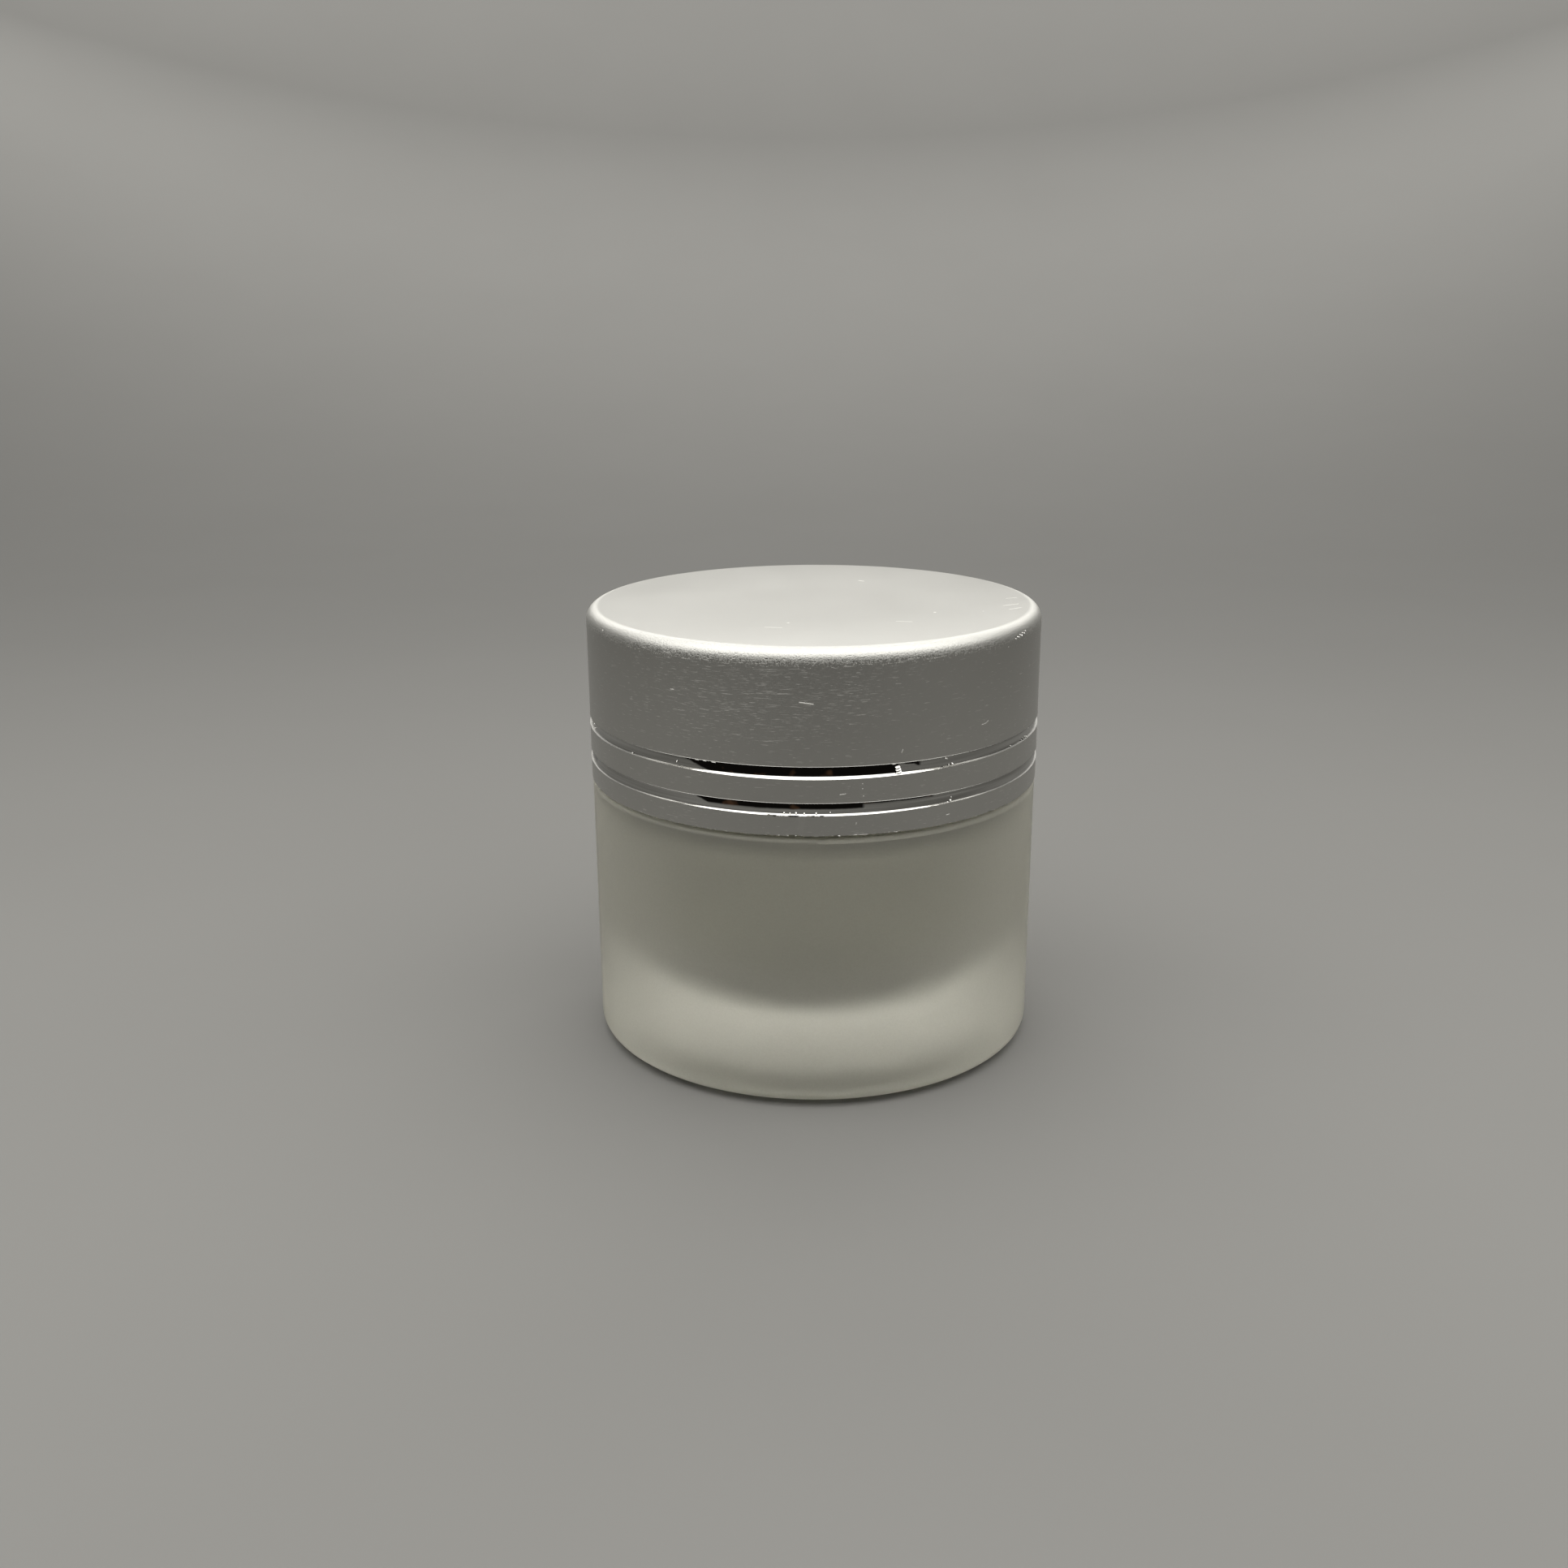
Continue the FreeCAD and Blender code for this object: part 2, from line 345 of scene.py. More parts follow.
LINER_SEGMENTS = 192
LINER_EDGE = 0.25 * MM
RING_INNER = 18.4 * MM
RING_OUTER = 20.7 * MM
RING_DEPTH = 0.06 * MM
FOAM_CELLS = 3200.0
FOAM_GRAIN = {"Grain": 5200.0, "Patches": 220.0}
FOAM_TEXTURE = 0.5
PIT_DEPTH = 0.06 * MM
PIT_EDGE = 0.6
FOAM_ROUGHNESS = (0.72, 0.86)
# Foam colours from pit bottom to cell edge: the darker one is painted shade in the pits.
FOAM_PIT_SHADE_COLOURS = ((0.66, 0.66, 0.63, 1.0), (0.82, 0.82, 0.80, 1.0))


def outline_point(radius, height):
    """Point of an outline that is turned about Z."""
    return Vector((radius, 0.0, height))


def arc_points(centre, radius, start, end, count):
    """Points of an arc round a centre given as a radius and a height, angles in degrees."""
    angles = [math.radians(start + (end - start) * k / count) for k in range(count + 1)]
    return [outline_point(centre[0] + radius * math.cos(a), centre[1] + radius * math.sin(a))
            for a in angles]


def turn_outline(name, outline, segments):
    """Piece turned about Z: one vertex is extruded along the outline and spun."""
    bpy.ops.object.select_all(action="DESELECT")
    bpy.ops.mesh.primitive_plane_add(size=MM, location=(0.0, 0.0, 0.0))
    piece = bpy.context.object
    piece.name = name
    bpy.ops.object.mode_set(mode="EDIT")
    bpy.ops.mesh.merge(type="CENTER")
    bpy.ops.transform.translate(value=outline[0])
    for before, after in zip(outline, outline[1:]):
        bpy.ops.mesh.extrude_vertices_move(TRANSFORM_OT_translate={"value": after - before})
    bpy.ops.mesh.select_all(action="SELECT")
    bpy.ops.mesh.spin(steps=segments, angle=math.tau, center=(0.0, 0.0, 0.0), axis=(0.0, 0.0, 1.0))
    bpy.ops.mesh.select_all(action="SELECT")
    bpy.ops.mesh.remove_doubles(threshold=0.002 * MM)
    bpy.ops.mesh.select_all(action="SELECT")
    bpy.ops.mesh.normals_make_consistent(inside=False)
    bpy.ops.object.mode_set(mode="OBJECT")
    return piece


def shade_by_angle(piece, degrees):
    """Smooth shading apart from edges sharper than the angle."""
    bpy.ops.object.select_all(action="DESELECT")
    piece.select_set(True)
    bpy.context.view_layer.objects.active = piece
    bpy.ops.object.shade_smooth_by_angle(angle=math.radians(degrees))


def turned_liner():
    """Flat disc with crowned edges and a pressed ring on its underside."""
    low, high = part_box("foam_liner")
    rim = high.x - LINER_EDGE
    outline = [outline_point(0.0, low.z)]
    outline += [outline_point(r, low.z) for r in (RING_INNER * 0.5, RING_INNER - RING_DEPTH * 3)]
    outline += [outline_point(r, low.z + RING_DEPTH) for r in (RING_INNER, RING_OUTER)]
    outline += [outline_point(RING_OUTER + RING_DEPTH * 3, low.z)]
    outline += arc_points((rim, low.z + LINER_EDGE), LINER_EDGE, -90, 0, 6)
    outline += arc_points((rim, high.z - LINER_EDGE), LINER_EDGE, 0, 90, 6)
    outline += [outline_point(RING_INNER * 0.5, high.z), outline_point(0.0, high.z)]
    piece = turn_outline("foam_liner_disc", outline, LINER_SEGMENTS)
    shade_by_angle(piece, 40)
    return piece


def closed_cell_foam():
    """White foam whose cut cells show as fine pits, coloured darker toward their middles as painted
    shade.
    """
    made, tree, shader = new_material("closed_cell_foam")
    place = stretched_place(tree)
    cells = add_node(tree, "ShaderNodeTexVoronoi", Vector=place, Scale=FOAM_CELLS)
    pits = ramp(tree, cells.outputs["Distance"], 0.0, PIT_EDGE)
    grain = use_group(tree, FINE_GRAIN, Place=place, **FOAM_GRAIN)
    roughen(tree, shader, pits, FOAM_TEXTURE, PIT_DEPTH)
    # Pit bottoms darker: painted shade in the cells.
    feed(tree, shader, Base_Color=blend_colours(tree, pits, *FOAM_PIT_SHADE_COLOURS),
         Roughness=patchy(tree, grain, *FOAM_ROUGHNESS))
    return made


foam_liner = turned_liner()
dress(foam_liner, closed_cell_foam())
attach(foam_liner, "liner")
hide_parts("foam_liner")


# --- Cap insert ----------------------------------------------------------------------
# Inner cap moulded in white polypropylene, with the thread that grips the jar's neck.
# It has the soft gloss of a polished mould.

INSERT_GRAIN = {"Grain": 2200.0, "Patches": 120.0}
INSERT_TEXTURE = 0.1
INSERT_ROUGHNESS = (0.24, 0.36)
INSERT_COLOURS = ((0.74, 0.74, 0.71, 1.0), (0.80, 0.80, 0.78, 1.0))
INSERT_SOAK = 0.1
INSERT_SOAK_DEPTH = 0.5 * MM

dress(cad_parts["cap_insert"],
      moulded_plastic("white_polypropylene", INSERT_GRAIN, INSERT_TEXTURE, INSERT_ROUGHNESS,
                      INSERT_COLOURS, INSERT_SOAK, INSERT_SOAK_DEPTH))


# --- Aluminium shell -----------------------------------------------------------------
# Cup drawn from thin sheet, satin anodised, then turned in a lathe where a diamond tool
# cuts two bright grooves through the anodised skin. It is pressed over the insert.

SHELL_SEGMENTS = 1024
SHELL_WALL = 0.5 * MM
RIM_ROUNDING = 1.4 * MM
INNER_ROUNDING = 0.75 * MM
GROOVE_WIDTH = 1.3 * MM
GROOVE_DEPTHS = (0.14 * MM, 0.2 * MM)
UPPER_FLANK = 0.06 * MM
LOWER_FLANKS = (0.19 * MM, 0.28 * MM)
LOWER_LAND = 2.15 * MM
MIDDLE_LAND = 2.45 * MM
GROOVE_PITCH = GROOVE_WIDTH + MIDDLE_LAND
LIP_PROUD = 0.02 * MM
LIP_TALL = 0.03 * MM
SKIRT_EDGE = 0.06 * MM

shell_low, shell_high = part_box("cap_shell")
shell_radius = shell_high.x
skin_radius = shell_radius - LIP_PROUD
floor_radii = [shell_radius - depth for depth in GROOVE_DEPTHS]
groove_bottoms = [shell_low.z + LOWER_LAND + k * GROOVE_PITCH for k in range(2)]


def rows(start, end, count):
    """Evenly spaced points from after start up to end."""
    return [start.lerp(end, (k + 1) / count) for k in range(count)]


def groove_outline(bottom, floor_radius, lower_flank):
    """Outline down through one groove: lip, steep flank, floor, sloping flank, lip."""
    top = bottom + GROOVE_WIDTH
    floor_top = outline_point(floor_radius, top - UPPER_FLANK)
    floor_bottom = outline_point(floor_radius, bottom + lower_flank)
    points = [outline_point(skin_radius, top + LIP_TALL), outline_point(shell_radius, top)]
    points += rows(points[-1], floor_top, 2)
    points += rows(floor_top, floor_bottom, 6)
    points += rows(floor_bottom, outline_point(shell_radius, bottom), 4)
    points += [outline_point(skin_radius, bottom - LIP_TALL)]
    return points


def turned_shell():
    """Outline from the top's middle over the rim, down the skirt and up the inside."""
    bore = shell_radius - SHELL_WALL
    roof = shell_high.z - SHELL_WALL
    rim_centre = (skin_radius - RIM_ROUNDING, shell_high.z - RIM_ROUNDING)
    inner_centre = (bore - INNER_ROUNDING, roof - INNER_ROUNDING)
    outline = [outline_point(0.0, shell_high.z), outline_point(rim_centre[0] / 2, shell_high.z)]
    outline += arc_points(rim_centre, RIM_ROUNDING, 90, 0, 14)
    for groove in (1, 0):
        outline += groove_outline(groove_bottoms[groove], floor_radii[groove], LOWER_FLANKS[groove])
    edge = outline_point(skin_radius, shell_low.z + SKIRT_EDGE)
    outline += [outline_point(skin_radius, shell_low.z + SKIRT_EDGE * 4), edge]
    outline += rows(edge, outline_point(skin_radius - SKIRT_EDGE, shell_low.z), 2)
    outline += [outline_point(bore, shell_low.z), outline_point(bore, shell_low.z + SKIRT_EDGE * 4)]
    outline += arc_points(inner_centre, INNER_ROUNDING, 0, 90, 6)
    outline += [outline_point(0.0, roof)]
    return turn_outline("cap_shell_skin", outline, SHELL_SEGMENTS)


RAGGED_WAVE = 0.45 * MM
NICK_WAVE = 1.6 * MM
SKIRT_RAGGED = 0.12 * MM
FLANK_RAGGED = 0.01 * MM
TORN_FLANK = (-4.5 * MM, 1.2 * MM)
TORN_FLANK_RAGGED = 0.22 * MM
NARROWEST_CUT = 0.22
CUT_PEAK = 15


def ragged(place, wave):
    """Unevenness from -1 to 1 along an edge, with waves of about the given length."""
    return noise.noise(Vector((place.x, place.y, place.z * 0.2)) / wave)


def arc_from_front(place):
    """Length along the skin from the front, positive to the right."""
    return math.atan2(place.x, -place.y) * shell_radius


def cut_share(place):
    """Width of a groove's sloping flank, widest at the front: the cap sat askew on the lathe."""
    facing = (1 - place.y / math.hypot(place.x, place.y)) / 2
    return NARROWEST_CUT + (1 - NARROWEST_CUT) * facing ** CUT_PEAK


def narrow_flanks(piece):
    """Draws each sloping flank's lower edge up where the cut ran narrower."""
    for vertex in piece.data.vertices:
        place = vertex.co
        for bottom, floor_radius, lower_flank in zip(groove_bottoms, floor_radii, LOWER_FLANKS):
            floor_bottom = bottom + lower_flank
            outside = math.hypot(place.x, place.y) > floor_radius + 0.01 * MM
            if outside and bottom - LIP_TALL * 1.5 < place.z < floor_bottom:
                place.z = floor_bottom - (floor_bottom - place.z) * cut_share(place)


def wear_edges(piece):
    """Nicks the skirt's edge and the grooves' lower edges as cutting and handling do."""
    for vertex in piece.data.vertices:
        place = vertex.co
        outside = math.hypot(place.x, place.y) > skin_radius - SKIRT_EDGE * 1.5
        if outside and place.z < shell_low.z + SKIRT_EDGE * 1.5:
            nick = max(0.0, ragged(place, NICK_WAVE) - 0.25)
            place.z += SKIRT_RAGGED * min(1.2, abs(ragged(place, RAGGED_WAVE)) + 3 * nick)
        for bottom in groove_bottoms:
            if outside and abs(place.z - bottom) < LIP_TALL * 1.2:
                torn = (bottom == groove_bottoms[0]
                        and TORN_FLANK[0] < arc_from_front(place) < TORN_FLANK[1])
                size = TORN_FLANK_RAGGED if torn else FLANK_RAGGED
                place.z += size * ragged(place, RAGGED_WAVE)


SKIN_MARKS = (    # from across, from up, to across, to up, width
    (-1.34, 43.72, 0.0, 43.54, 0.18),
    (8.9, 38.26, 9.02, 38.54, 0.2),
    (18.79, 39.70, 19.45, 39.74, 0.11), (19.45, 39.74, 19.79, 39.94, 0.11),
    (22.93, 47.05, 22.97, 47.07, 0.2), (-26.9, 48.08, -26.85, 48.12, 0.24),
    (4.88, 35.36, 4.92, 35.36, 0.17), (4.89, 34.85, 4.93, 34.85, 0.17),
    (4.97, 34.09, 5.01, 34.09, 0.16), (2.64, 34.33, 3.20, 34.40, 0.14),
    (14.25, 31.0, 14.6, 31.03, 0.18), (4.26, 31.2, 4.3, 31.36, 0.16),
    (3.88, 30.06, 5.53, 30.06, 0.12), (-15.1, 44.0, -14.7, 44.0, 0.12),
)
TOP_MARKS = (    # from X, from Y, to X, to Y, width
    (5.4, 12.5, 5.9, 12.1, 0.36), (-4.9, -14.6, -3.2, -14.8, 0.2),
    (-2.6, -12.4, -2.55, -12.35, 0.4), (8.6, -11.7, 10.2, -11.9, 0.2),
    (12.9, -6.9, 12.95, -6.85, 0.4), (20.6, -3.2, 22.3, -2.2, 0.22),
    (21.0, -5.3, 22.4, -4.3, 0.2), (21.4, 1.0, 22.6, 1.5, 0.2),
)
# Spot where the dashes, partly painted glints, are thickest, and the random patches where they
# thicken too.
DASH_CENTRE = (-5.7 * MM, 44.8 * MM)
DASH_REACH = (22.0 * MM, 9.0 * MM)
DASH_STRETCH = (1.0, 1.0, 17.0)
DASH_NOISE = {"Scale": 1000.0, "Detail": 1.0, "Distortion": 0.7}
DASH_LEAST = (0.695, 0.615)
DASH_EDGE = 0.06
DASH_STRENGTH = 0.62
DASH_PATCH = (0.58, 0.75)
RIM_BRUSHED = 1.2 * MM
RIM_GRANULAR = 3.0 * MM
NICKED_EDGE = 0.2 * MM
NICKED_GRAIN = (0.60, 0.66)
MARK_DEPTH = 6.0
RIM_DEPTH = 3.5
SATIN_GRAIN = {"Grain": 5600.0, "Patches": 90.0}
SATIN_SPECKS = {"Cells": 500.0, "Share": 0.05, "Size": 0.07}
SATIN_TEXTURE = 0.45
SATIN_ROUGHNESS = (0.33, 0.35)
MARKS_ROUGHER, DASHES_ROUGHER, RIM_ROUGHER = 0.4, 0.35, 0.12
SATIN_COLOURS = ((0.445, 0.44, 0.42, 1.0), (0.46, 0.455, 0.435, 1.0))
# Paler rim: partly edge wear, partly painted highlight.
RIM_WEAR_AND_HIGHLIGHT_COLOUR = (0.64, 0.635, 0.61, 1.0)
BARE_METAL = (0.93, 0.92, 0.89, 1.0)


def spot(tree, across, up, centre, reach):
    """Mask that fades from a centre to an ellipse of the given reach."""
    wide = maths(tree, "DIVIDE", maths(tree, "SUBTRACT", across, centre[0]), reach[0])
    tall = maths(tree, "DIVIDE", maths(tree, "SUBTRACT", up, centre[1]), reach[1])
    gap = add_node(tree, "ShaderNodeCombineXYZ", X=wide, Y=tall).outputs[0]
    gap = add_node(tree, "ShaderNodeVectorMath", {"operation": "LENGTH"}, Vector=gap)
    return ramp(tree, gap.outputs["Value"], 0.2, 1.0, 1.0, 0.0, smooth=True)


def around_middle(tree, value, swing):
    """A noise of about a half, made to swing round zero."""
    return maths(tree, "MULTIPLY", maths(tree, "SUBTRACT", value, 0.5), swing)


def satin_aluminium():
    """Etched and anodised skin: close grain, short turned dashes that are partly painted glints,
    specks and hairlines, and a rim that is partly a painted highlight.
    """
    made, tree, shader = new_material("satin_anodised_skin")
    place = stretched_place(tree)
    turned = use_group(tree, TURNED_PLACE, Place=place)
    axes = add_node(tree, "ShaderNodeSeparateXYZ", Vector=place).outputs
    across = maths(tree, "MULTIPLY", turned["Angle"], shell_radius)
    grain = use_group(tree, FINE_GRAIN, Place=place, **SATIN_GRAIN)
    on_side = maths(tree, "LESS_THAN", turned["Height"], shell_high.z - RIM_ROUNDING * 0.5)
    on_top = maths(tree, "GREATER_THAN", turned["Height"], shell_high.z - RIM_ROUNDING * 0.1)

    # Short dashes along the turning: turning scratches in their bump, painted glints in their pale
    # colour, thickest in one spot left of the front and in random patches.
    painted_light_spread = spot(tree, across, turned["Height"], DASH_CENTRE, DASH_REACH)
    painted_light_spread = maths(tree, "MAXIMUM", painted_light_spread, ramp(tree, grain["Patch"], *DASH_PATCH))
    streaks = add_node(tree, "ShaderNodeTexNoise", Vector=stretched_place(tree, DASH_STRETCH),
                       **DASH_NOISE).outputs[0]
    least = ramp(tree, painted_light_spread, 0.0, 1.0, *DASH_LEAST)
    dashes = ramp(tree, maths(tree, "SUBTRACT", streaks, least), 0.0, DASH_EDGE)
    dashes = maths(tree, "MULTIPLY", maths(tree, "MULTIPLY", dashes, on_side), DASH_STRENGTH)

    # Marks that bare the metal: specks, scratches and the nicked edge of the skirt.
    specks = use_group(tree, STRAY_SPECKS, Place=place, **SATIN_SPECKS)
    skin_marks = maths(tree, "MULTIPLY", on_side,
                       scratches(tree, across, turned["Height"], SKIN_MARKS))
    top_marks = maths(tree, "MULTIPLY", on_top,
                      scratches(tree, axes["X"], axes["Y"], TOP_MARKS))
    edge = ramp(tree, turned["Height"], shell_low.z + NICKED_EDGE / 2,
                shell_low.z + NICKED_EDGE, 1.0, 0.0)
    nicks = maths(tree, "MULTIPLY", edge, ramp(tree, grain["Height"], *NICKED_GRAIN))
    bared = specks["Mask"]
    for mark in (skin_marks, top_marks, nicks):
        bared = maths(tree, "MAXIMUM", bared, mark)

    # The rim is paler and granular, down to an uneven line: partly edge wear, partly a painted
    # highlight that adds to the rim's own, with a grainy lower edge like the highlight's.
    brushed = around_middle(tree, streaks, RIM_BRUSHED)
    granular = around_middle(tree, grain["Height"], RIM_GRANULAR)
    rim_place = maths(tree, "ADD", turned["Height"], maths(tree, "ADD", brushed, granular))
    rim = ramp(tree, rim_place, shell_high.z - RIM_ROUNDING * 1.05,
               shell_high.z - RIM_ROUNDING * 0.75)
    rim = maths(tree, "MULTIPLY", rim, ramp(tree, turned["Radius"], skin_radius - RIM_ROUNDING,
                                            skin_radius - RIM_ROUNDING * 0.7))

    finish = patchy(tree, grain, *SATIN_ROUGHNESS)
    for mark, rougher in ((bared, MARKS_ROUGHER), (dashes, DASHES_ROUGHER), (rim, RIM_ROUGHER)):
        finish = maths(tree, "ADD", finish, maths(tree, "MULTIPLY", mark, rougher))
    scored = maths(tree, "MULTIPLY", maths(tree, "MULTIPLY", grain["Height"], rim), RIM_DEPTH)
    cut = maths(tree, "ADD", maths(tree, "MULTIPLY", bared, MARK_DEPTH), scored)
    roughen(tree, shader, maths(tree, "ADD", grain["Height"], cut), SATIN_TEXTURE)
    skin = blend_colours(tree, patchy(tree, grain, 0.0, 1.0), *SATIN_COLOURS)
    # Paler rim colour: partly edge wear, partly painted highlight.
    skin = blend_colours(tree, rim, skin, RIM_WEAR_AND_HIGHLIGHT_COLOUR)
    # Pale dashes (partly painted glints) and bared metal (real marks) take the bare metal colour.
    glints_and_bared = maths(tree, "MAXIMUM", dashes, bared)
    feed(tree, shader, Base_Color=blend_colours(tree, glints_and_bared, skin, BARE_METAL), Roughness=finish,
         Metallic=1.0)
    return made


# Stretches of black in the grooves: the first four, at the front, are a painted dark reflection;
# the last four, further round, are polish residue.
REFLECTION_AND_RESIDUE_STRETCHES = (    # upper groove or not, start, end, least share of the groove's width
    (1, -10.2, 8.5, 0.2), (0, -9.0, 4.9, 0.52), (0, 8.0, 12.5, 0.84), (1, 12.9, 10.9, 0.6),
    (1, 41.0, 52.0, 0.2), (0, 60.0, 68.0, 0.5), (1, -62.0, -55.0, 0.3), (0, -38.0, -31.0, 0.5),
)
# Lengths off the front over which the flanks go from bright to darker: painted shade at the sides.
SIDE_SHADE_START = 15.0 * MM
SIDE_SHADE_FULL = 24.0 * MM
STRETCH_FADE = 1.6 * MM
STRETCH_LEAN = 4.0 * MM
STRETCH_EDGE = 0.06
STRETCH_NOISE = {"Scale": 900.0, "Detail": 2.0}
SLIP_UPWARD = 60.0
TURNED_STRETCH = (0.2, 0.2, 12.0)
CUT_GRAIN = {"Grain": 3000.0, "Patches": 300.0}
CUT_TEXTURE = 0.1
CUT_DEPTH = 0.01 * MM
CUT_ROUGHNESS = (0.10, 0.22)
DULL_ROUGHER = 0.4
# Groove floor colours: painted shade, darker than bare cut metal to stand for the darker things it
# mirrors.
FLOOR_PAINTED_SHADE_COLOURS = ((0.22, 0.217, 0.205, 1.0), (0.42, 0.417, 0.405, 1.0))
# Flank colour at the sides: painted shade.
SIDE_PAINTED_SHADE_METAL = (0.50, 0.495, 0.48, 1.0)
BROWN_PATCH_GRAIN = {"Grain": 700.0, "Patches": 450.0}
BROWN_PATCH = (0.60, 0.68)
# Black and brown in the grooves: painted reflection at the front, residue elsewhere.
REFLECTION_AND_POLISH_BLACK = (0.010, 0.009, 0.008, 1.0)
REFLECTION_AND_STAIN_BROWN = (0.11, 0.06, 0.035, 1.0)


def groove_reflection_and_residue(tree, across, up, share_up, in_upper):
    """Black in the grooves: stretches that taper at their ends; the four at the front are a painted
    reflection of dark things before the cap, the four further round are polish residue.
    """
    wave = add_node(tree, "ShaderNodeCombineXYZ", X=across, Y=up).outputs[0]
    uneven = add_node(tree, "ShaderNodeTexNoise", Vector=wave, **STRETCH_NOISE).outputs[0]
    slip = around_middle(tree, uneven, STRETCH_FADE)
    lean = maths(tree, "MULTIPLY", share_up, STRETCH_LEAN)
    head = maths(tree, "ADD", maths(tree, "ADD", across, lean), slip)
    level = maths(tree, "SUBTRACT", share_up, maths(tree, "MULTIPLY", slip, SLIP_UPWARD))
    mask = 0.0
    for groove, start, end, from_share in REFLECTION_AND_RESIDUE_STRETCHES:
        here = in_upper if groove else maths(tree, "SUBTRACT", 1.0, in_upper)
        after = ramp(tree, head, start * MM, start * MM + STRETCH_FADE * 0.3)
        before = ramp(tree, across, end * MM, end * MM + STRETCH_FADE * 0.2, 1.0, 0.0)
        high = ramp(tree, level, from_share - STRETCH_EDGE, from_share + STRETCH_EDGE)
        stretch = maths(tree, "MULTIPLY", maths(tree, "MULTIPLY", after, before), here)
        mask = maths(tree, "MAXIMUM", maths(tree, "MULTIPLY", stretch, high), mask)
    return mask


def bright_cut_aluminium():
    """Bare metal left by the diamond tool: bright flanks darkened toward the sides as painted
    shade, a floor darkened as painted shade, and black in the floor that is partly a painted
    reflection and partly residue.
    """
    made, tree, shader = new_material("bright_cut_metal")
    place = stretched_place(tree)
    turned = use_group(tree, TURNED_PLACE, Place=place)
    across = maths(tree, "MULTIPLY", turned["Angle"], shell_radius)
    grain = use_group(tree, FINE_GRAIN, Place=stretched_place(tree, TURNED_STRETCH), **CUT_GRAIN)
    roughen(tree, shader, grain["Height"], CUT_TEXTURE, CUT_DEPTH)

    # Which groove a place is in, how far it is off the floor, and how far up the groove.
    middle = (groove_bottoms[0] + groove_bottoms[1] + GROOVE_WIDTH) / 2
    in_upper = maths(tree, "GREATER_THAN", turned["Height"], middle)
    floor_radius = ramp(tree, in_upper, 0.0, 1.0, *floor_radii)
    proud = maths(tree, "SUBTRACT", turned["Radius"], floor_radius)
    flank = ramp(tree, proud, 0.005 * MM, 0.02 * MM)
    rise = maths(tree, "SUBTRACT", turned["Height"], groove_bottoms[0])
    rise = maths(tree, "MODULO", rise, GROOVE_PITCH)
    share_up = maths(tree, "DIVIDE", rise, GROOVE_WIDTH)

    reflection_and_residue = groove_reflection_and_residue(tree, across, turned["Height"], share_up, in_upper)
    brown_patches = use_group(tree, FINE_GRAIN, Place=place, **BROWN_PATCH_GRAIN)
    brown_share = ramp(tree, brown_patches["Patch"], *BROWN_PATCH)
    # Black with brown patches: a painted reflection at the front, residue further round.
    black = blend_colours(tree, brown_share, REFLECTION_AND_POLISH_BLACK, REFLECTION_AND_STAIN_BROWN)
    # Floor of the grooves darkened: painted shade.
    shaded_floor = blend_colours(tree, patchy(tree, grain, 0.0, 1.0), *FLOOR_PAINTED_SHADE_COLOURS)
    floor = blend_colours(tree, reflection_and_residue, shaded_floor, black)
    # Flanks bright at the front and darker toward the sides: painted shade, with rougher metal
    # there too.
    painted_light_spread = ramp(tree, maths(tree, "ABSOLUTE", across), SIDE_SHADE_START, SIDE_SHADE_FULL)
    flank_with_side_shade = blend_colours(tree, painted_light_spread, BARE_METAL, SIDE_PAINTED_SHADE_METAL)
    finish = ramp(tree, grain["Height"], NOISE_LOW, NOISE_HIGH, *CUT_ROUGHNESS)
    matt = maths(tree, "MULTIPLY", maths(tree, "MULTIPLY", flank, painted_light_spread), DULL_ROUGHER)
    feed(tree, shader, Base_Color=blend_colours(tree, flank, floor, flank_with_side_shade),
         Roughness=maths(tree, "ADD", finish, matt), Metallic=1.0)
    return made


def is_bright_cut(centre):
    """Whether a face of the shell lies in one of the grooves."""
    outside = math.hypot(centre.x, centre.y) > shell_radius - GROOVE_DEPTHS[1] * 1.5
    return outside and any(0.0 < centre.z - bottom < GROOVE_WIDTH for bottom in groove_bottoms)


cap_shell = turned_shell()
cap_shell.data.materials.append(satin_aluminium())
cap_shell.data.materials.append(bright_cut_aluminium())
for face in cap_shell.data.polygons:
    face.material_index = int(is_bright_cut(face.center))
wear_edges(cap_shell)
narrow_flanks(cap_shell)
shade_by_angle(cap_shell, 25)
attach(cap_shell, "cap")
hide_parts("cap_shell")


# --- Burrs ---------------------------------------------------------------------------
# Slivers of bare metal that the cutting tool tore up and left in the grooves and along
# the skirt's edge, and a few that a knock raised on the rim. They are part of the shell's
# sheet and stay inside its box.

